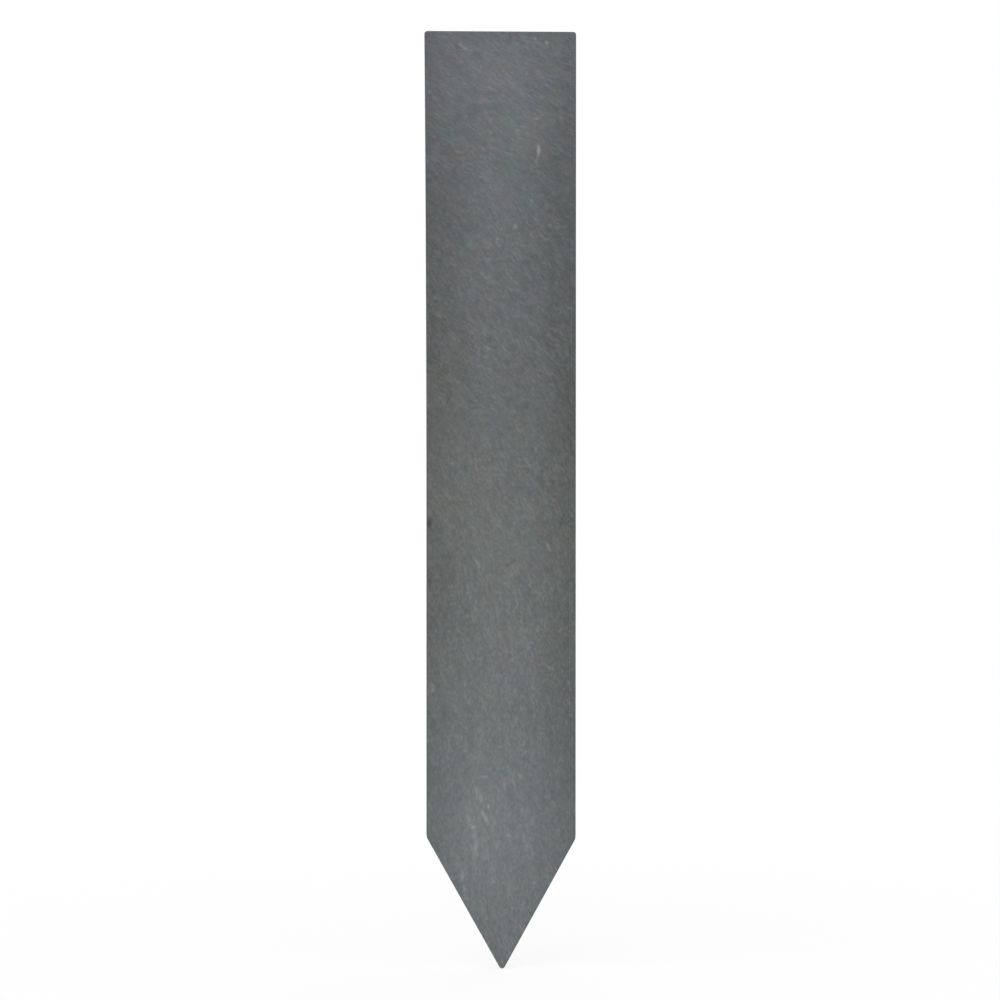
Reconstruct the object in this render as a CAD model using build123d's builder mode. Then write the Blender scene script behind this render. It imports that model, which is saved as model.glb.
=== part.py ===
"""Plant label stake: one flat blade of natural slate with a mitred point.

The origin is the lowest point of the tip, +Z runs up the blade and the front
face looks towards -Y. Lengths are in millimetres and angles in degrees.
"""

import os
from math import radians, sin, tan

from build123d import *

# The sawn blank
length = 250.0               # tip to the middle of the top edge
width = 39.8                 # across the parallel edges, just above the point
thickness = 5.0              # front face to back face, after honing

# How far the hand-fed saw cuts stray from a true rectangle
left_flare = 0.55            # the left edge bows out this far by the top
left_flare_length = 130.0    # the bow begins this far below the top
right_flare = 0.15           # the right edge leans out this far by the top
top_fall = 0.26              # the top edge is this much lower at its right end

# The point
left_mitre = 29.3            # angle between the left slant and the length
right_mitre = 28.9           # angle between the right slant and the length
tip_offset = 0.28            # the tip lies this far right of the blade's middle
tip_radius = 0.8

# Corners, worn and eased
top_corner_radius = 0.8
shoulder_radius = 2.5        # where the slants meet the parallel edges
arris_radius = 0.3           # all round the front face and the back face

# Levels and corners of the outline, worked out from the sizes above. The
# rounded tip ends at Z 0, so its two slants would meet a little below that.
half_point_angle = (left_mitre + right_mitre) / 2
slants_meet = tip_radius - tip_radius / sin(radians(half_point_angle))
left_edge = -width / 2
right_edge = width / 2
left_run = tip_offset - left_edge
right_run = right_edge - tip_offset
left_shoulder = slants_meet + left_run / tan(radians(left_mitre))
right_shoulder = slants_meet + right_run / tan(radians(right_mitre))
flare_start = (left_edge, length - left_flare_length)
top_left = (left_edge - left_flare, length + top_fall / 2)
top_right = (right_edge + right_flare, length - top_fall / 2)


with BuildPart() as slate_stake:
    # The outline is drawn as the front face is seen, X to the right and Z up
    with BuildSketch(Plane.XZ) as outline:
        with BuildLine():
            Line((tip_offset, slants_meet), (right_edge, right_shoulder))
            Line((right_edge, right_shoulder), top_right)
            Line(top_right, top_left)
            TangentArc(flare_start, top_left, tangent=(0, 1))
            Line(flare_start, (left_edge, left_shoulder))
            Line((left_edge, left_shoulder), (tip_offset, slants_meet))
        make_face()

        # The sketch's own Y runs up the blade. Its corners from the lowest
        # up are the tip, the two shoulders, the start of the flare, which
        # runs smoothly and isn't rounded, and the two top corners
        corners = outline.vertices().sort_by(Axis.Y)
        fillet(corners[0], radius=tip_radius)
        fillet(corners[1:3], radius=shoulder_radius)
        fillet(corners[-2:], radius=top_corner_radius)
    extrude(amount=thickness / 2, both=True)

    # Honing leaves a small round on the arris of each face
    faces_by_depth = slate_stake.faces().sort_by(Axis.Y)
    arrises = faces_by_depth[0].edges() + faces_by_depth[-1].edges()
    fillet(arrises, radius=arris_radius)

slate_stake.part.label = "slate_stake"

os.makedirs("parts", exist_ok=True)
export_step(slate_stake.part, "parts/slate_stake.step")

size = slate_stake.part.bounding_box().size
print(f"slate_stake: {size.X:.2f} x {size.Y:.2f} x {size.Z:.2f} mm")
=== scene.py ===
# %% [markdown]
# # A slate plant label, modelled and finished as a stone mason would make it
#
# The real object is one blade of natural slate. It is sawn from a slab, cut to
# a point at the lower end, rubbed flat under a grinding wheel, and its sharp
# edges are eased. Here it stands upright on its tip, as it does in a pot, with
# +Z up the blade and the front face looking towards -Y.
#
# The blade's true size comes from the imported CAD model, which is loaded as a
# fixed frame. Everything below is in metres and fits that frame.

# %% Load the frame
from math import cos, radians, sin, sqrt, tan

import bpy
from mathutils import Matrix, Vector


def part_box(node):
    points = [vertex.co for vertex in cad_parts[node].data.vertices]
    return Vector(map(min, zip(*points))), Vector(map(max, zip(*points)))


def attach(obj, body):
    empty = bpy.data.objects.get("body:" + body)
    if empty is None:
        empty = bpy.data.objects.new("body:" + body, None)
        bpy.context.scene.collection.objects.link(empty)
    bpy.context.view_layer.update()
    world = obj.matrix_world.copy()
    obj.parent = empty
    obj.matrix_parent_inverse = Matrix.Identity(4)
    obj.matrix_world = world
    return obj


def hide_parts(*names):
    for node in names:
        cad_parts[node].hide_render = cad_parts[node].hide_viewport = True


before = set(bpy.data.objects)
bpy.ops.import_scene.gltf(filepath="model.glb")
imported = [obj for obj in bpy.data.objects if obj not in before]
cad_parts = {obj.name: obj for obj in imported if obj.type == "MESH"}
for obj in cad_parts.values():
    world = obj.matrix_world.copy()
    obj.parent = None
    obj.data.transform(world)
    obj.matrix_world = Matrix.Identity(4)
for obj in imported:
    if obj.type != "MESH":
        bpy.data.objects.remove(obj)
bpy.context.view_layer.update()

MM = 0.001
solid_low, solid_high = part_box("slate_stake")
thickness = solid_high.y - solid_low.y
print(f"blade {solid_high.z / MM:.1f} mm long and {thickness / MM:.1f} mm thick")


# %% [markdown]
# ## From a place in the photograph to a place on the blade
#
# The photograph looks straight at the front face, so one scale turns its
# pixels into millimetres all over that face. The blade is 250 mm long and
# measures 937.5 pixels, which gives 3.75 pixels to the millimetre. Two known
# points, the blade's middle line and the end of its tip, fix the rest.

# %% The photograph's scale
PIXELS_PER_MM = 3.75
MIDDLE_PX = 501.0      # the blade's middle line, in pixels from the left
TIP_PX = 968.7         # the lowest point of the tip, in pixels from the top
FRAME_PX = 1000


def right_of_middle(pixel):
    """How far a column of the photograph lies right of the blade's middle."""
    return (pixel - MIDDLE_PX) / PIXELS_PER_MM * MM


def above_tip(pixel):
    """How far a row of the photograph lies above the tip."""
    return (TIP_PX - pixel) / PIXELS_PER_MM * MM


print(f"the frame takes in {FRAME_PX / PIXELS_PER_MM:.1f} mm at the front face")


# %% [markdown]
# ## The camera
#
# Nothing of the sides shows in the photograph, so the camera stood square in
# front of the face. A long lens, well back, gives the same flat look as a
# product photograph. Its distance follows from the lens: it is the distance at
# which the front face fills the frame at the scale above.

# %% Place the camera
LENS = 100 * MM
SENSOR = 36 * MM
view_width = FRAME_PX / PIXELS_PER_MM * MM
camera_distance = view_width * LENS / SENSOR

camera_data = bpy.data.cameras.new("camera")
camera_data.lens = LENS / MM
camera_data.sensor_width = SENSOR / MM
camera = bpy.data.objects.new("camera", camera_data)
camera.location = (
    right_of_middle(FRAME_PX / 2),
    solid_low.y - camera_distance,
    above_tip(FRAME_PX / 2),
)
camera.rotation_euler = (radians(90), 0, 0)
bpy.context.scene.collection.objects.link(camera)
bpy.context.scene.camera = camera
print(f"camera {camera_distance / MM:.0f} mm in front of the face")


# %% [markdown]
# ## The sawn blank
#
# Every slate label starts as a plain sawn strip, so the model starts as a cube
# stretched to the strip's size. It reaches below the tip, because the two
# mitre cuts will take its lower corners away. The strip is placed where the
# CAD blade is from the start, which keeps the object's own origin at the tip.

# %% Saw the blank
WIDTH = 39.8 * MM            # across the parallel edges, just above the point
TOP_FALL = 0.26 * MM         # how much lower the top edge is at its right end
WASTE = 6 * MM               # the strip below the tip, sawn away later
length = solid_high.z - TOP_FALL / 2

bpy.ops.object.select_all(action="DESELECT")
bpy.ops.mesh.primitive_cube_add(size=1, location=(0, 0, (length - WASTE) / 2))
blade = bpy.context.active_object
blade.name = "honed_slate_blade"
blade.scale = (WIDTH, thickness, length + WASTE)
bpy.ops.object.transform_apply(location=True, rotation=True, scale=True)
print(f"blank {WIDTH / MM:.1f} mm wide and {(length + WASTE) / MM:.1f} mm long")


# %% [markdown]
# ## Cutting with a plane
#
# Edit mode's bisect tool is the saw: it cuts the mesh along a plane, can throw
# away one side and can close the cut. The same tool without throwing anything
# away only scores a line round the blade, which is how the finer divisions are
# added later.

# %% The saw
SAW_TOLERANCE = 0.01 * MM    # a point this near to the plane counts as on it


def saw(point, direction, cut_off=False):
    """Cuts the whole blade at a plane. What lies beyond it, in its direction,
    goes if cut_off is true, and the cut is closed."""
    bpy.ops.object.mode_set(mode="EDIT")
    bpy.ops.mesh.select_all(action="SELECT")
    bpy.ops.mesh.bisect(
        plane_co=point,
        plane_no=direction,
        use_fill=cut_off,
        clear_outer=cut_off,
        threshold=SAW_TOLERANCE,
    )
    bpy.ops.object.mode_set(mode="OBJECT")


# %% [markdown]
# ## The mitred point
#
# Two slanting cuts meet at the tip. Their angles differ by less than half a
# degree and the tip sits a hair right of the middle, because the blade is
# pushed through the saw by hand. The cuts would meet a little below height 0,
# since the tip is rounded back to there afterwards.

# %% Cut the point
LEFT_MITRE = radians(29.3)
RIGHT_MITRE = radians(28.9)
TIP_OFFSET = 0.28 * MM
TIP_RADIUS = 0.8 * MM
half_point = (LEFT_MITRE + RIGHT_MITRE) / 2
slants_meet = (TIP_OFFSET, 0, TIP_RADIUS - TIP_RADIUS / sin(half_point))

saw(slants_meet, (-cos(LEFT_MITRE), 0, -sin(LEFT_MITRE)), cut_off=True)
saw(slants_meet, (cos(RIGHT_MITRE), 0, -sin(RIGHT_MITRE)), cut_off=True)
print(f"point cut, {len(blade.data.vertices)} corners")


# %% [markdown]
# ## Edges that aren't quite straight
#
# The left edge of the real blade bows out by half a millimetre towards the
# top, the right edge leans out a little, and the top edge falls slightly to
# the right. The blade is scored across at a few levels, and the corners at
# each level are slid by their share. Points are picked in code by their place,
# in the way that a click would pick them.

# %% Bow the long edges
LEFT_FLARE = 0.55 * MM
RIGHT_FLARE = 0.15 * MM
FLARE_LENGTH = 130 * MM      # how far down from the top the left edge bows
SHOULDER = 35 * MM           # where the right edge starts to lean
FLARE_LEVELS = 5
LEVEL_REACH = 0.1 * MM       # how far from a level its points may lie


def pick(chosen, kind="VERT"):
    """Selects the vertices or edges for which chosen is true, in edit mode."""
    bpy.ops.object.mode_set(mode="EDIT")
    bpy.ops.mesh.select_mode(type=kind)
    bpy.ops.mesh.select_all(action="DESELECT")
    bpy.ops.object.mode_set(mode="OBJECT")
    parts = blade.data.vertices if kind == "VERT" else blade.data.edges
    for part in parts:
        part.select = chosen(part)
    bpy.ops.object.mode_set(mode="EDIT")


def slide(side, height, shift):
    """Slides the points of one long edge at one height."""
    pick(lambda v: v.co.x * side > 0 and abs(v.co.z - height) < LEVEL_REACH)
    bpy.ops.transform.translate(value=shift)
    bpy.ops.object.mode_set(mode="OBJECT")


heights = [length - FLARE_LENGTH * (1 - level / FLARE_LEVELS) for level in range(FLARE_LEVELS)]
for height in heights:
    saw((0, 0, height), (0, 0, 1))
for height in heights + [length]:
    bow = LEFT_FLARE * (1 - (length - height) / FLARE_LENGTH) ** 2
    lean = RIGHT_FLARE * (height - SHOULDER) / (length - SHOULDER)
    rise = TOP_FALL / 2 if height == length else 0
    slide(-1, height, (-bow, 0, rise))
    slide(1, height, (lean, 0, -rise))
across = [vertex.co.x for vertex in blade.data.vertices]
print(f"top edge {(max(across) - min(across)) / MM:.2f} mm wide")


# %% [markdown]
# ## Rounding the corners
#
# Seen from the front, the tip is worn to a small radius, the shoulders of the
# point are barely rounded and the top corners are eased. Each of these corners
# is one short edge that runs from front to back, and edit mode's bevel rounds
# it. Bevel asks how far back from the corner the round begins, and for a
# radius that distance is the radius times the tangent of half the turn. On the
# narrow tip its round is a squeezed circle that reaches less far in, so there
# the distance is worked out from where the tip has to end, which is height 0.

# %% Round the tip, the shoulders and the top corners
TOP_CORNER_RADIUS = 0.8 * MM
SHOULDER_RADIUS = 2.5 * MM
CORNER_REACH = 5 * MM        # how far from a corner's level its edge may be
STRAIGHT = 0.01 * MM         # how little an edge from front to back may lean
TIP_SEGMENTS = 8
SHOULDER_SEGMENTS = 4
TOP_CORNER_SEGMENTS = 6
tip_start = -slants_meet[2] / ((2 - sqrt(2)) * cos(half_point))


def runs_through(edge, low, high):
    """True if the edge runs from front to back between two heights."""
    start, end = [blade.data.vertices[i].co for i in edge.vertices]
    straight = abs(start.z - end.z) + abs(start.x - end.x) < STRAIGHT
    return straight and low < start.z < high


def round_corners(level, start, segments):
    """Bevels the corners near a level, from a distance back from the corner."""
    low, high = level - CORNER_REACH, level + CORNER_REACH
    pick(lambda edge: runs_through(edge, low, high), kind="EDGE")
    bpy.ops.mesh.bevel(offset=start, segments=segments, affect="EDGES")
    bpy.ops.object.mode_set(mode="OBJECT")


round_corners(0, tip_start, TIP_SEGMENTS)
round_corners(SHOULDER, SHOULDER_RADIUS * tan(half_point / 2), SHOULDER_SEGMENTS)
round_corners(length, TOP_CORNER_RADIUS, TOP_CORNER_SEGMENTS)
print(f"the tip ends at {min(v.co.z for v in blade.data.vertices) / MM:.3f} mm")


# %% [markdown]
# ## Easing the arrises
#
# An arris is the sharp edge between a face and a sawn side. On the real blade
# it is rubbed to a tiny round, so that it doesn't cut the hand. Every edge
# sharper than 60 degrees is an arris here, because the rounded corners are
# made of much smaller turns, so edit mode can find them all by angle.

# %% Ease the arrises
ARRIS_RADIUS = 0.3 * MM
ARRIS_SEGMENTS = 2
SHARP = radians(60)

bpy.ops.object.mode_set(mode="EDIT")
bpy.ops.mesh.select_mode(type="EDGE")
bpy.ops.mesh.select_all(action="DESELECT")
bpy.ops.mesh.edges_select_sharp(sharpness=SHARP)
bpy.ops.mesh.bevel(offset=ARRIS_RADIUS, segments=ARRIS_SEGMENTS, affect="EDGES")
bpy.ops.object.mode_set(mode="OBJECT")
print(f"the eased blade has {len(blade.data.polygons)} faces")


# %% [markdown]
# ## Enough points to weather
#
# So far the blade is perfect, and stone never is. Its relief is made by moving
# points, so the mesh first needs many of them, evenly spread. The saw scores a
# coarse grid of lines all round, and a simple subdivision, which adds points
# without rounding anything, makes that grid four times finer. Where a line
# runs very close to a corner that was there before, the points of both are
# merged first, because they would only leave slivers.

# %% Score a grid and subdivide it
GRID = 2.5 * MM
LAYERS = 5
FINER = 2                    # each step halves the grid
TOO_CLOSE = 0.08 * MM        # points nearer than this are merged


def score(axis, low, high, pitch):
    """Saws lines square to an axis, evenly spaced between two places."""
    count = round((high - low) / pitch)
    direction = Vector([float(i == axis) for i in range(3)])
    for line in range(1, count):
        saw(direction * (low + (high - low) * line / count), direction)
    return count


rows = score(2, 0, length, GRID)
columns = score(0, -WIDTH / 2, WIDTH / 2, GRID)
score(1, -thickness / 2, thickness / 2, thickness / LAYERS)
bpy.ops.object.mode_set(mode="EDIT")
bpy.ops.mesh.select_all(action="SELECT")
bpy.ops.mesh.remove_doubles(threshold=TOO_CLOSE)
bpy.ops.object.mode_set(mode="OBJECT")
finer = blade.modifiers.new("finer", "SUBSURF")
finer.subdivision_type = "SIMPLE"
finer.levels = finer.render_levels = FINER
bpy.ops.object.modifier_apply(modifier=finer.name)
print(f"{rows} rows and {columns} columns, {len(blade.data.polygons)} faces")


# %% [markdown]
# ## Which points belong to what
#
# Weathering differs from place to place: the honed faces are nearly flat, the
# sawn sides show the slate's thin layers, and the arrises are nicked. A vertex
# group holds the points of each, so that a modifier can be kept to them. The
# normal tells them apart: its Y is 1 or -1 on a face and 0 on a side.

# %% Sort the points into groups
SIDE_FADE = 0.7 * MM         # the layers fade out this near to an arris
FACE_Y = 0.99                # a face's normal has more Y than this
SIDE_Y = 0.5                 # a side's has less than this
ARRIS_Y = (0.2, 0.98)        # an arris's lies between these


def group(name, weight):
    """A vertex group in which each point has the weight that its place gives."""
    made = blade.vertex_groups.new(name=name)
    for vertex in blade.data.vertices:
        share = weight(vertex.co, vertex.normal)
        if share > 0:
            made.add([vertex.index], min(share, 1), "REPLACE")
    return made.name


def on_face(place, normal):
    return float(abs(normal.y) > FACE_Y)


def on_side(place, normal):
    depth_in = thickness / 2 - ARRIS_RADIUS - abs(place.y)
    return depth_in / SIDE_FADE if abs(normal.y) < SIDE_Y else 0


def on_arris(place, normal):
    return float(ARRIS_Y[0] < abs(normal.y) < ARRIS_Y[1])


def on_back(place, normal):
    return float(normal.y > FACE_Y)


faces = group("faces", on_face)
sides = group("sides", on_side)
arrises = group("arrises", on_arris)
back = group("back", on_back)
print(f"{len(blade.vertex_groups)} groups over {len(blade.data.vertices)} points")


# %% [markdown]
# ## Weathering with the Displace modifier
#
# Displace moves points along their normals by the value of a texture. It can
# take its coordinates from an empty, so an empty's scale sets the grain of the
# pattern in each direction: long in two directions and short in the third
# gives layers. A ramp turns the texture's value into a share of the height, so
# it can leave most of the surface bare or break a slope into steps. The middle
# level of 1 means that points only ever move inwards, as stone is only ever
# taken away, and the blade keeps its size.

# %% The weathering tool
NOTICED = 0.01 * MM          # a point that moves less than this isn't counted


def weather(name, points, depth, grain, profile, detail=2, steps=False):
    """Wears a group of points in by up to depth, in a pattern of that grain.
    The profile is pairs of a texture value and the share of the height that is
    left there, joined by slopes or, if steps is true, by steps."""
    ruler = bpy.data.objects.new(name, None)
    ruler.scale = grain
    bpy.context.scene.collection.objects.link(ruler)
    texture = bpy.data.textures.new(name, "CLOUDS")
    texture.noise_scale = 1
    texture.noise_depth = detail
    texture.use_color_ramp = True
    ramp = texture.color_ramp
    ramp.interpolation = "CONSTANT" if steps else "LINEAR"
    for place, left in profile[1:-1]:
        ramp.elements.new(place)
    for element, (place, left) in zip(ramp.elements, profile):
        element.position = place
        element.color = (left, left, left, 1)
    before = [vertex.co.copy() for vertex in blade.data.vertices]
    wear = blade.modifiers.new(name, "DISPLACE")
    wear.texture = texture
    wear.texture_coords = "OBJECT"
    wear.texture_coords_object = ruler
    wear.vertex_group = points
    wear.mid_level = 1
    wear.strength = depth
    bpy.ops.object.modifier_apply(modifier=wear.name)
    bpy.data.objects.remove(ruler)
    bpy.data.textures.remove(texture)
    moves = [(now.co - old).length for now, old in zip(blade.data.vertices, before)]
    worn = [move for move in moves if move > NOTICED]
    print(f"{name}: {len(worn)} points worn, at most {max(moves) / MM:.2f} mm")


# %% [markdown]
# ## Four kinds of wear
#
# The grinding wheel leaves the faces very slightly wavy. The sawn sides show
# the layers that slate splits along, as fine ridges that run with the faces.
# The arrises have small nicks, few and shallow, since the photograph shows
# almost clean edges. The back was planed less deep than the front, so some
# hollows of the split surface are left there, and slate splits in thin steps.

# %% Weather the blade
SMOOTH_BELOW = radians(50)   # edges that turn more than this stay crisp

weather(
    "wheel_waves",
    faces,
    depth=0.05 * MM,
    grain=(17 * MM, 9 * MM, 34 * MM),
    profile=((0, 0), (1, 1)),
)
weather(
    "split_layers",
    sides,
    depth=0.09 * MM,
    grain=(34 * MM, 0.8 * MM, 34 * MM),
    profile=((0.3, 0), (0.6, 1)),
    detail=1,
)
weather(
    "nicks",
    arrises,
    depth=0.2 * MM,
    grain=(2.4 * MM,) * 3,
    profile=((0.22, 0), (0.34, 1)),
)
weather(
    "split_steps",
    back,
    depth=0.2 * MM,
    grain=(21 * MM, 13 * MM, 38 * MM),
    profile=((0, 0), (0.27, 0.25), (0.34, 0.5), (0.40, 0.75), (0.45, 1)),
    detail=4,
    steps=True,
)
bpy.ops.object.shade_smooth_by_angle(angle=SMOOTH_BELOW)


# %% [markdown]
# ## Shader arithmetic in plain Python
#
# The slate's colour is mostly arithmetic: this pattern times that mask, plus a
# little of another. In the node editor that is dozens of Math nodes. Here one
# small class stands for what comes out of a node, and Python's own operators
# add the Math nodes, so that a finish reads as a formula.

# %% A value that varies over the surface
class Signal:
    """The output socket of a shader node, with arithmetic."""

    def __init__(self, finish, socket):
        self.finish = finish
        self.socket = socket

    def math(self, operation, first, second):
        return self.finish.node("Math", {0: first, 1: second}, {"operation": operation})

    def __add__(self, other):
        return self.math("ADD", self, other)

    def __sub__(self, other):
        return self.math("SUBTRACT", self, other)

    def __rsub__(self, other):
        return self.math("SUBTRACT", other, self)

    def __mul__(self, other):
        return self.math("MULTIPLY", self, other)

    def __truediv__(self, other):
        return self.math("DIVIDE", self, other)

    def __pow__(self, other):
        return self.math("POWER", self, other)

    def __abs__(self):
        return self.math("ABSOLUTE", self, 0)

    def at_least(self, other):
        return self.math("MAXIMUM", self, other)

    __radd__ = __add__
    __rmul__ = __mul__


# %% [markdown]
# ## A finish, node by node
#
# A finish is a material, or the world, whose nodes are all added by one method.
# It takes the node's type, the values or links of its sockets, and its
# settings, which are set first because some of them change which sockets there
# are. A noise texture without detail stays mostly between 0.25 and 0.75, so
# taking its middle away and stretching it gives about -1 to 1. A soft spot is
# the ball of a gradient texture, moved and stretched into its place.

# %% A finish and its nodes
NOISE_MIDDLE = 0.5
NOISE_STRETCH = 4


class Finish:
    """The shader nodes of a material or of the world."""

    def __init__(self, owner):
        owner.use_nodes = True
        self.owner = owner
        self.tree = owner.node_tree
        self.tree.nodes.clear()

    def node(self, kind, sockets, settings=None, out=0):
        """Adds a node and returns the signal of one of its outputs."""
        made = self.tree.nodes.new("ShaderNode" + kind)
        for name, setting in (settings or {}).items():
            setattr(made, name, setting)
        for name, value in sockets.items():
            if isinstance(value, Signal):
                self.tree.links.new(value.socket, made.inputs[name])
            else:
                made.inputs[name].default_value = value
        return Signal(self, made.outputs[out]) if made.outputs else None

    def rise(self, value, low, high):
        """0 at low, 1 at high and beyond, and a smooth rise between them."""
        return self.node(
            "MapRange",
            {"Value": value, "From Min": low, "From Max": high},
            {"interpolation_type": "SMOOTHSTEP"},
        )

    def fitted(self, vector, middle, reach, turn=0):
        """A vector moved, turned about Y and scaled, so that a shape at that
        place, of that reach and turn, becomes a unit ball round zero."""
        return self.node(
            "Mapping",
            {"Vector": vector, "Location": middle, "Rotation": (0, turn, 0), "Scale": reach},
            {"vector_type": "TEXTURE"},
        )

    def noise(self, vector, reach, turn=0, start=(0, 0, 0)):
        """Blotches of about that reach, from about -1 to 1 round 0. Another
        start gives another pattern of the same kind."""
        place = self.fitted(vector, start, reach, turn)
        cloud = self.node("TexNoise", {"Vector": place, "Scale": 1, "Detail": 0})
        return (cloud - NOISE_MIDDLE) * NOISE_STRETCH

    def patch(self, vector, middle, reach, turn=0):
        """1 in the middle of an ellipsoid and 0 at its reach and beyond."""
        place = self.fitted(vector, middle, reach, turn)
        ball = self.node("TexGradient", {"Vector": place}, {"gradient_type": "SPHERICAL"}, out=1)
        return self.rise(ball, 0, 1)


slate = Finish(bpy.data.materials.new("honed_slate"))
print(f"new finish {slate.owner.name}")


# %% [markdown]
# ## Where on the stone
#
# Object coordinates give each point's place on the blade, in metres and in the
# blade's own frame. In millimetres, the sizes of the patterns can be written
# as they are measured. The normal, also in the blade's own frame, tells the
# faces from the sides.

# %% Places in millimetres, and which surface a place is on
FACE_RISE = (0.5, 0.8)       # the normal's Y between which a side becomes a face
BACK_RISE = (0.9, 0.97)      # and between which an arris becomes the back

coordinates = slate.node("TexCoord", {}, out=3)
normal = slate.node("TexCoord", {}, out=1)
spot = slate.node("VectorMath", {0: coordinates, "Scale": 1 / MM}, {"operation": "SCALE"}, out=0)
spot_x = slate.node("SeparateXYZ", {0: spot}, out=0)
spot_y = slate.node("SeparateXYZ", {0: spot}, out=1)
spot_z = slate.node("SeparateXYZ", {0: spot}, out=2)
facing = slate.node("SeparateXYZ", {0: normal}, out=1)
face_y = thickness / 2 / MM

is_face = slate.rise(abs(facing), *FACE_RISE)
is_front = slate.rise(facing, -FACE_RISE[0], -FACE_RISE[1])
is_back = slate.rise(facing, *BACK_RISE)
print(f"the faces lie at y = -{face_y:.1f} and {face_y:.1f} mm")


# %% [markdown]
# ## Broad tones and a painted sheen
#
# Slate isn't one grey, and some of these broad tones are painted light. Along
# the blade the front is lighter and bluer at the point and at the top end, and
# darker and browner between them; the lighter lower half is painted light, and
# the pale, bluish foot, tip and top end are a painted sheen. Each broad tone is
# a soft ellipse with its own share of lighter, warmer (more red and less blue)
# and greener. The ellipses end inside the stone, so the back and the sides get
# their own broad blotches, from slow noises.

# %% Lay the broad tones and the painted sheen
TONES_AND_PAINTED_SHEEN = (
    # middle x, z and reach x, z in mm, then lighter, warmer and greener
    # The next three rows are painted light: the lower half painted lighter, and a painted pale,
    # bluish sheen on the foot and on the top end.
    (-20, 101, 70, 87, 0.22, 0.009, 0.012),     # lower half, lighter
    (-4, 33, 56, 39, 0.25, -0.010, 0.013),      # the foot, pale and bluish
    (8, 238, 90, 17, 0.09, -0.007, -0.008),     # the top end, pale and bluish
    (-8, 127, 47, 79, -0.15, 0.025, 0.005),     # brown across the middle
    (-17, 165, 13, 45, -0.08, 0.019, 0.004),    # olive at the left
    (19, 183, 21, 77, -0.12, 0.007, 0.0),       # dark at the upper right
    (-18, 202, 14, 22, -0.12, 0.009, -0.009),   # violet at the upper left
    (19, 107, 12, 91, -0.09, 0.025, 0.012),     # brown right rim
    (-18, 101, 17, 28, -0.13, 0.008, -0.003),   # dark left rim
    (-6, 39, 6, 19, 0.09, 0.002, 0.002),        # scuffed pale by use of the point
    (8, 223, 10, 12, 0.12, 0.004, 0.0),         # pale blotch near the top
    # The next row is painted sheen as well, paler still at the tip.
    (0, 6, 60, 30, 0.04, 0.0, 0.002),           # a little paler still at the tip
    (19, 143, 9, 25, -0.03, 0.003, 0.0),        # darker right rim, half way up
    (-19, 246, 12, 12, 0.0, 0.002, -0.010),     # violet at the top left corner
    (8, 170, 8, 20, 0.03, 0.004, -0.004),       # a paler streak right of the middle
    (13, 205, 10, 18, -0.03, 0.0, -0.003),      # a darker one above it
    (1, 251, 13, 6, -0.17, 0.010, -0.004),      # darker middle of the top edge
    (19, 230, 8, 10, 0.0, 0.017, 0.0),          # brown on the right rim
    (2, 192, 9, 10, -0.03, 0.020, 0.0),         # a brown spot in the middle
    (-19, 185, 9, 8, 0.0, 0.0, -0.014),         # violet on the left rim
    (-20, 172, 9, 8, -0.06, 0.018, 0.0),        # brown below it
    (-10, 187, 7, 9, 0.05, -0.004, 0.0),        # a paler spot left of the middle
    (-6, 166, 9, 7, -0.05, 0.0, 0.0),           # a darker one below it
    (-20, 153, 9, 8, 0.13, 0.0, 0.0),           # a pale spot on the left rim
    (20, 125, 8, 9, 0.07, 0.0, 0.0),            # one on the right rim, lower down
    (2, 110, 8, 7, 0.05, 0.0, 0.0),             # a paler spot in the middle
    (14, 97, 7, 9, -0.05, 0.0, 0.0),            # a darker one right of it
    (-19, 81, 11, 16, 0.0, 0.018, -0.004),      # brown on the left rim, lower down
    (-3, 73, 22, 7, 0.06, 0.0, 0.0),            # a pale band across the blade
    (-20, 42, 9, 9, 0.06, 0.0, 0.0),            # a paler left shoulder
    (-5, 35, 6, 6, -0.06, 0.0, 0.0),            # a darker spot on the foot
    (5, 35, 7, 7, 0.06, 0.0, 0.0),              # a paler one right of it
)
TONE_DEPTH = 4               # mm, less than the blade is thick
LIGHT_BLOTCHES = (22, 22, 40), 0.08      # their reach in mm and their strength
WARM_BLOTCHES = (17, 17, 26), 0.02
GREEN_BLOTCHES = (14, 14, 21), 0.01
elsewhere = 1 - is_front


def blotches(reach, strength):
    """Slow blotches on the back and the sides."""
    return slate.noise(spot, reach) * elsewhere * strength


lighter = blotches(*LIGHT_BLOTCHES)
warmer = blotches(*WARM_BLOTCHES)
greener = blotches(*GREEN_BLOTCHES)
for tone_x, tone_z, reach_x, reach_z, light_by, warm_by, green_by in TONES_AND_PAINTED_SHEEN:
    tone = slate.patch(spot, (tone_x, -face_y, tone_z), (reach_x, TONE_DEPTH, reach_z))
    lighter = lighter + tone * light_by
    warmer = warmer + tone * warm_by
    greener = greener + tone * green_by
print(f"{len(TONES_AND_PAINTED_SHEEN)} broad tones on the front")


# %% [markdown]
# ## A painted sheen down the middle
#
# The lighter band down the middle of the front is a painted sheen, and both
# margins are painted darker as painted shade. Across the blade the tone falls
# away from a line just left of the middle, slowly at first and then faster.

# %% Paint shade on the margins
SHEEN_BAND_X = -1.4                # the lightest line, in mm right of the middle
# how much darker the margins are painted, as painted shade beside the painted sheen
MARGIN_PAINTED_SHADE = 0.24
FALL_POWER = 1.7

half_width = WIDTH / 2 / MM
left_of_band = ((SHEEN_BAND_X - spot_x) / (half_width + SHEEN_BAND_X)).at_least(0)
right_of_band = ((spot_x - SHEEN_BAND_X) / (half_width - SHEEN_BAND_X)).at_least(0)
margins = (left_of_band ** FALL_POWER + right_of_band ** FALL_POWER) * MARGIN_PAINTED_SHADE
print(f"the margins are up to {MARGIN_PAINTED_SHADE:.0%} darker")


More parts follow.
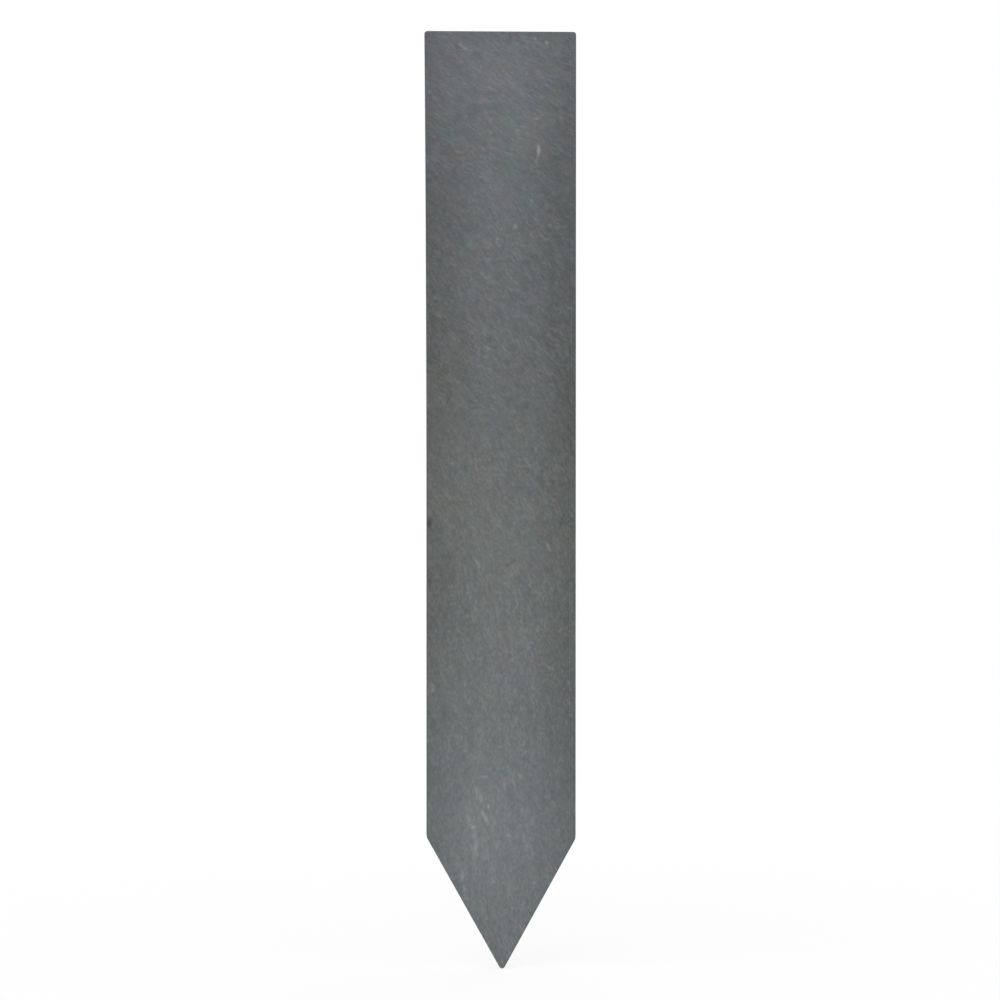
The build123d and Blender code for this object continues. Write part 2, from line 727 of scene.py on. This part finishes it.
# %% [markdown]
# ## Honing streaks
#
# Half of the fine pattern is short streaks from the honing pad. The pad swings
# on an arm, so its streaks lean further over, and run longer, the nearer they
# are to the top end. Four stretched noises, each with its own lean, take over
# from one another on the way up. Their paths are shaken by a slower noise, so
# that they don't look combed. Broader and softer wisps with the same leans lie
# under them.

# %% Lay the streaks and the wisps
STREAKS = (
    # lean from upright in degrees, the heights in mm between which it fades in,
    # then width, length and strength
    (-9, -20, -10, 0.43, 1.55, 0.142),
    (-26, 102, 120, 0.43, 1.75, 0.134),
    (-42, 134, 154, 0.43, 2.0, 0.125),
    (-56, 198, 216, 0.42, 2.5, 0.14),
)
WISPS = ((1.5, 4.6, 0.058), (3.4, 10.5, 0.036))    # width, length and strength
SHAKE_REACH = 8
SHAKE = 2.3                  # how far the streaks' paths are shaken, in mm

slow = slate.fitted(spot, (0, 0, 0), (SHAKE_REACH,) * 3)
wander = slate.node("TexNoise", {"Vector": slow}, out=1)
shaken = {0: wander, 1: (SHAKE, 0, SHAKE), 2: spot}
path = slate.node("VectorMath", shaken, {"operation": "MULTIPLY_ADD"})
streaks = 0
wisps = 0
for level, (lean, fade_from, fade_to, width, run, strength) in enumerate(STREAKS):
    share = slate.rise(spot_z, fade_from, fade_to)
    if level < len(STREAKS) - 1:
        share = share - slate.rise(spot_z, STREAKS[level + 1][1], STREAKS[level + 1][2])
    streaks = streaks + slate.noise(path, (width, width, run), radians(lean)) * share * strength
    for width, run, strength in WISPS:
        wisps = wisps + slate.noise(spot, (width, width, run), radians(lean)) * share * strength
print(f"{len(STREAKS)} leans of streaks, each over {len(WISPS)} sizes of wisps")


# %% [markdown]
# ## The stone's own grain
#
# The other half is the stone's grain, with no direction: noises of a few
# sizes, a little weaker at the top end. Their sum with the streaks is squared
# and added as well, which lifts the strongest light specks more than it lowers
# the dark ones. The tints have a grain of their own, and towards the top end
# it turns to mauve against teal.

# %% Lay the grain
GRAIN = ((0.5, 0.022), (0.8, 0.058), (1.3, 0.060))      # reach in mm and strength
LESS_GRAIN = 0.25            # the share of it that the top end lacks
LESS_GRAIN_RISE = (190, 215)
LIGHT_SPECKS = 1.05          # how much of the square is added
WARM_GRAIN = ((2.2, 0.024), (6, 0.010))
GREEN_GRAIN = ((1.8, 0.011), (5, 0.007))
MAUVE_GRAIN = ((1.9, 0.011), (4.5, 0.008))
MAUVE_RISE = (130, 190)      # the heights in mm between which the mauve comes in
WARM_START = (31, 0, 0)      # other starts, so that no two patterns agree
GREEN_START = (0, 31, 0)
MAUVE_START = (31, 31, 0)


def grains(sizes, start=(0, 0, 0)):
    """Grain of several sizes, summed."""
    total = 0
    for reach, strength in sizes:
        total = total + slate.noise(spot, (reach,) * 3, start=start) * strength
    return total


grain = grains(GRAIN) * (1 - slate.rise(spot_z, *LESS_GRAIN_RISE) * LESS_GRAIN)
fine = streaks * is_face + wisps + grain
mauve = grains(MAUVE_GRAIN, MAUVE_START) * slate.rise(spot_z, *MAUVE_RISE)
lighter = lighter + fine + fine * fine * LIGHT_SPECKS
warmer = warmer + grains(WARM_GRAIN, WARM_START) + mauve
greener = greener + grains(GREEN_GRAIN, GREEN_START) - mauve
print(f"{len(GRAIN)} sizes of grain")


# %% [markdown]
# ## Flecks of pale mineral
#
# Tiny pale flecks of mica and quartz lie all through the stone. A Voronoi
# texture scatters one seed into each of its cells. Near the seed the stone is
# pale, and the cell's own random colour decides how pale, so that many seeds
# stay unseen.

# %% Scatter the flecks
FLECK_CELL = 1.8             # mm from seed to seed
FLECK_RADIUS = 0.42
FLECK_STRENGTH = 0.22
UNSEEN_SHARE = 0.3           # the share of the seeds that don't show

seeds = {"Vector": spot, "Scale": 1 / FLECK_CELL}
seed_distance = slate.node("TexVoronoi", seeds, out=0)
seed_colour = slate.node("TexVoronoi", seeds, out=1)
chance = slate.node("SeparateColor", {0: seed_colour}, out=0)
flecks = slate.rise(seed_distance, FLECK_RADIUS / FLECK_CELL, 0)
flecks = flecks * slate.rise(chance, UNSEEN_SHARE, 1)
lighter = lighter + flecks * FLECK_STRENGTH
print(f"a seed every {FLECK_CELL} mm")


# %% [markdown]
# ## Marks that the photograph shows
#
# Some marks can be told apart, so each has its own place on the front: a bright
# chip near the top, flecks of pale mineral, scuffs that the soil has left on the
# foot, a few scratches and a few dark spots. A mark is a soft spot, long or
# round, that lightens or darkens the stone.

# %% Place the marks
# Each row is a mark's column and row in the photograph, its length and width
# in pixels, its lean from upright in degrees, and how much lighter it makes
# the stone
CHIP = (
    (538.5, 150.5, 8.5, 2.8, 2, 1.18),
    (536.5, 160.5, 6.5, 2.0, 8, 0.38),
)
PALE_FLECKS = (
    (546.5, 42.5, 3.6, 2.7, -30, 0.75),
    (535.5, 38.5, 3.6, 2.4, 0, 0.46),
    (460.5, 44.5, 3.8, 2.8, -45, 0.58),
    (464.5, 48.5, 3.8, 2.8, -60, 0.52),
    (461.5, 61, 3.4, 2.6, 0, 0.14),
    (481, 67, 3.6, 2.6, 0, 0.21),
    (464.5, 84, 3.6, 2.8, 0, 0.22),
    (503, 95.5, 3.4, 2.6, 0, 0.19),
    (434.5, 97.5, 3.4, 2.4, -50, 0.34),
    (531.5, 200.5, 3.4, 3, 0, 0.34),
    (515.5, 226.5, 4.4, 3.6, -40, 0.57),
    (549.5, 225, 3.6, 2.4, -40, 0.28),
    (537.5, 630.5, 4, 2.4, -45, 0.32),
    (548.5, 667.5, 4.6, 2.2, -8, 0.39),
    (432.5, 685.5, 3.4, 2.4, 0, 0.43),
    (432.5, 690.5, 3.4, 2.4, 0, 0.58),
    (513.5, 782, 3.6, 2.8, 0, 0.15),
    (508.5, 835.5, 4.6, 3, -75, 0.42),
    (446.5, 837.5, 4.5, 3, 0, 0.2),
    (493.5, 881, 4.4, 2.8, -50, 0.1),
)
FOOT_SCUFFS = (
    (520.5, 775.5, 4.4, 2.4, 75, 0.5),
    (483.5, 776.5, 6.8, 2.6, 89, 0.42),
    (504.5, 785.5, 10, 2.6, 0, 0.21),
    (477.5, 790.5, 5, 4, 20, 0.38),
    (480.5, 798.5, 8.4, 3.2, -4, 0.4),
    (488.5, 806.5, 5, 2.2, 0, 0.53),
    (482.5, 813.5, 6.5, 3, -25, 0.42),
    (486.5, 819.5, 6, 2.8, -20, 0.57),
    (468.5, 819.5, 8.4, 4.2, -30, 0.38),
    (494.5, 821.5, 8, 2.6, 10, 0.2),
    (473.5, 827.5, 5, 3, 70, 0.6),
    (474.5, 835.5, 9, 4.5, 0, 0.37),
    (476.5, 843.5, 9, 4, 20, 0.43),
    (497.5, 844.5, 6, 4, 30, 0.28),
    (475.5, 852, 12, 5, 10, 0.3),
    (485, 858, 8, 3.6, 55, 0.3),
    (461.5, 877, 10, 4.8, -8, 0.3),
    (464.5, 888.5, 5.4, 2.2, -4, 0.47),
    (465.5, 895.5, 8, 2.6, -22, 0.28),
)
SCRATCHES = (
    (484.5, 100, 8, 3, -62, 0.24),
    (536.5, 118.5, 5.4, 2.6, 77, 0.46),
    (488.5, 348.5, 7.4, 3, -68, 0.28),
    (548.5, 546.5, 7.5, 3, -26, 0.54),
    (477.5, 563, 13.5, 2.4, -41, 0.36),
)
DARK_SPOTS = (
    (448, 401, 12.5, 2.6, 18, -0.17),
    (429.5, 428, 6, 3, 0, -0.09),
    (561.5, 521.5, 10.5, 3, 16, -0.29),
    (429.5, 522.5, 8, 4, 0, -0.5),
    (509.5, 564.5, 13, 2.4, 47, -0.25),
    (429.5, 581, 6, 3, 0, -0.23),
)
MARK_DEPTH = 1               # in mm

marks = CHIP + PALE_FLECKS + FOOT_SCUFFS + SCRATCHES + DARK_SPOTS
marked = 0
for column, row, long, wide, lean, light_by in marks:
    middle = (right_of_middle(column) / MM, -face_y, above_tip(row) / MM)
    reach = (wide / PIXELS_PER_MM, MARK_DEPTH, long / PIXELS_PER_MM)
    marked = marked + slate.patch(spot, middle, reach, radians(lean)) * light_by
lighter = lighter + marked
print(f"{len(marks)} marks on the front")


# %% [markdown]
# ## Sawn sides and a painted highlight at the top
#
# The sides cut through the slate's layers, so they show them as fine lines
# that run with the faces, some of them stained brown by iron. Noises that are
# very thin from front to back give those lines. A sawn side is also darker
# than a honed face. The last fraction of a millimetre at the top end is painted
# a little paler, a painted highlight where the top arris catches the light.

# %% Layers and stains on the sides, and a painted top highlight
THICK_LAYERS = (40, 0.45, 40)
THIN_LAYERS = (15, 0.2, 15)
THIN_SHARE = 0.6
LAYER_LIGHT = 0.09
SIDE_LIGHT = -0.16
STAIN_REACH = (9, 0.5, 9)
STAIN_RISE = (0.5, 1.3)      # only the highest of that noise is a stain
STAIN_LIGHT = -0.05
STAIN_WARM = 0.05
TOP_HIGHLIGHT_DEPTHS = (0.7, 0.2)      # in mm below the top end
TOP_PAINTED_HIGHLIGHT = 0.07

on_sides = 1 - is_face
layers = slate.noise(spot, THICK_LAYERS) + slate.noise(spot, THIN_LAYERS) * THIN_SHARE
stains = slate.rise(slate.noise(spot, STAIN_REACH), *STAIN_RISE)
painted_top_highlight = slate.rise(spot_z, length / MM - TOP_HIGHLIGHT_DEPTHS[0], length / MM - TOP_HIGHLIGHT_DEPTHS[1])
sawn = layers * LAYER_LIGHT + SIDE_LIGHT + stains * STAIN_LIGHT
# The strip at the top end is a painted highlight, where the top arris catches the light.
lighter = lighter + on_sides * sawn + painted_top_highlight * TOP_PAINTED_HIGHLIGHT
warmer = warmer + on_sides * stains * STAIN_WARM
print(f"layers of {THICK_LAYERS[1]} and {THIN_LAYERS[1]} mm on the sides")


# %% [markdown]
# ## Split hollows and painted step highlights
#
# The hollows of the back are the natural split surface: a little darker and
# browner than the honed stone. They are found by their depth behind the back's
# own plane. The edges of their steps are painted paler, a painted highlight
# where light catches the tilted step, and they are found by the normal, which
# tilts there.

# %% Hollows, and painted highlights on the steps of the back
HOLLOW_DEPTHS = (0.07, 0.13)    # in mm, where a hollow's colour begins and is full
HOLLOW_LIGHT = -0.09
HOLLOW_WARM = 0.02
STEP_HIGHLIGHT_NORMALS = (0.9997, 0.9985)
STEP_PAINTED_HIGHLIGHT = 0.14

hollows = slate.rise(spot_y, face_y - HOLLOW_DEPTHS[0], face_y - HOLLOW_DEPTHS[1]) * is_back
# The step edges get a painted highlight, found where the normal tilts.
steps = slate.rise(facing, *STEP_HIGHLIGHT_NORMALS) * is_back
lighter = lighter + hollows * HOLLOW_LIGHT + steps * STEP_PAINTED_HIGHLIGHT
warmer = warmer + hollows * HOLLOW_WARM
print(f"hollows deeper than {HOLLOW_DEPTHS[0]} mm are darker")


# %% [markdown]
# ## From tones to a colour
#
# The three signals now scale one plain slate grey. Warmer lifts red and lowers
# blue, greener lifts green and lowers the two others, and the lightness scales
# all three. The streaks, the layers and a grit too fine to colour give the
# bump its height in millimetres, and another noise makes the roughness vary a
# little.

# %% Mix the colour
SLATE_GREY = (0.1270, 0.1351, 0.1407)
STREAK_RELIEF = 0.04         # the reliefs are in mm
LAYER_RELIEF = 0.02
GRIT_RELIEF = 0.008
GRIT = (1.2,) * 3
ROUGHNESS = 0.7
ROUGHNESS_CHANGE = 0.05
ROUGHNESS_PATCHES = (3, 3, 3)
SHINE = 0.25                 # half of the usual specular level, as stone is matt

# The margins' factor is painted shade: the faces are darkened towards both edges.
shade = (1 + lighter) * (1 - margins * is_face)
red = shade * (1 + warmer - greener) * SLATE_GREY[0]
green = shade * (1 + greener) * SLATE_GREY[1]
blue = shade * (1 - warmer - greener) * SLATE_GREY[2]
colour = slate.node("CombineColor", {0: red, 1: green, 2: blue})
relief = streaks * is_face * STREAK_RELIEF + layers * on_sides * LAYER_RELIEF
relief = relief + slate.noise(spot, GRIT) * GRIT_RELIEF
bump = slate.node("Bump", {"Height": relief, "Distance": MM})
stone = slate.node(
    "BsdfPrincipled",
    {
        "Base Color": colour,
        "Roughness": ROUGHNESS + slate.noise(spot, ROUGHNESS_PATCHES) * ROUGHNESS_CHANGE,
        "Specular IOR Level": SHINE,
        "Normal": bump,
    },
)
slate.node("OutputMaterial", {"Surface": stone})
blade.data.materials.append(slate.owner)
print(f"{slate.owner.name} has {len(slate.tree.nodes)} nodes")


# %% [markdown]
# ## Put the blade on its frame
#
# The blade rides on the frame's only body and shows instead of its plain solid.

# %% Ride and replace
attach(blade, "root")
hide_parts("slate_stake")
print(f"{blade.name} shows instead of slate_stake")


# %% [markdown]
# ## Floor and backdrop
#
# The photograph has a pure white background. The floor is a wide pale plane at
# the tip, and it fades into the white world with the distance. What the camera
# sees of it is mostly a plain white glow, with some of the real floor left in
# it, so that the blade's faint shadow stays.

# %% Lay the floor
FLOOR_SIZE = 30
GLOW = 0.85                  # how much of the floor's look is plain white
FADE = (0.03, 0.4)           # the distances in metres between which it fades
PALE = (0.97, 0.97, 0.97, 1)
WHITE = (1, 1, 1, 1)
CAMERA_RAY = 0               # outputs of the Light Path node
GLOSSY_RAY = 3
TRANSMISSION_RAY = 6

bpy.ops.object.select_all(action="DESELECT")
bpy.ops.mesh.primitive_plane_add(size=FLOOR_SIZE, location=(0, 0, 0))
floor = bpy.context.active_object
floor.name = "studio_floor"
pale = Finish(bpy.data.materials.new("pale_floor"))
place = pale.node("TexCoord", {}, out=3)
far = pale.node("VectorMath", {0: place}, {"operation": "LENGTH"}, out=1)
seen = pale.node("LightPath", {}, out=CAMERA_RAY)
seen = seen.at_least(pale.node("LightPath", {}, out=GLOSSY_RAY))
glow = GLOW + pale.rise(far, *FADE) * (1 - GLOW)
painted = pale.node("BsdfDiffuse", {"Color": PALE})
white = pale.node("Emission", {"Color": WHITE, "Strength": 1})
mixed = pale.node("MixShader", {0: seen * glow, 1: painted, 2: white})
pale.node("OutputMaterial", {"Surface": mixed})
floor.data.materials.append(pale.owner)
print(f"{floor.name} is {FLOOR_SIZE} m wide")


# %% [markdown]
# ## Soft studio light
#
# Half of the light comes from the world, evenly from all around, while the
# camera and reflections see it plain white. Three suns
# with very wide discs stand for softboxes: the key from high at the front
# left, a fill from the right and a weaker one from behind, for the other
# views. Together they light the front at a plain level, at which a colour
# shows about as it is written.

# %% Light the studio
WORLD_LEVEL = 0.5
SOFTNESS = radians(70)
SUNS = (
    # name, direction towards the light, strength
    ("key", (-0.42, -0.62, 0.68), 1.25),
    ("fill", (0.75, -0.5, 0.4), 0.6),
    ("back", (0.3, 0.85, 0.45), 0.9),
)

world = bpy.data.worlds.new("studio_world")
bpy.context.scene.world = world
around = Finish(world)
shown = around.node("LightPath", {}, out=CAMERA_RAY)
for ray in (GLOSSY_RAY, TRANSMISSION_RAY):
    shown = shown.at_least(around.node("LightPath", {}, out=ray))
even = around.node("Background", {"Color": WHITE, "Strength": WORLD_LEVEL})
clear = around.node("Background", {"Color": WHITE, "Strength": 1})
mixed = around.node("MixShader", {0: shown, 1: even, 2: clear})
around.node("OutputWorld", {"Surface": mixed})
for name, direction, strength in SUNS:
    lamp = bpy.data.lights.new(name, "SUN")
    lamp.energy = strength
    lamp.angle = SOFTNESS
    sun = bpy.data.objects.new(name, lamp)
    sun.location = direction
    sun.rotation_euler = Vector(direction).to_track_quat("Z", "Y").to_euler()
    bpy.context.scene.collection.objects.link(sun)
bpy.context.scene.view_settings.view_transform = "Standard"
print(f"{len(SUNS)} suns and an even world")
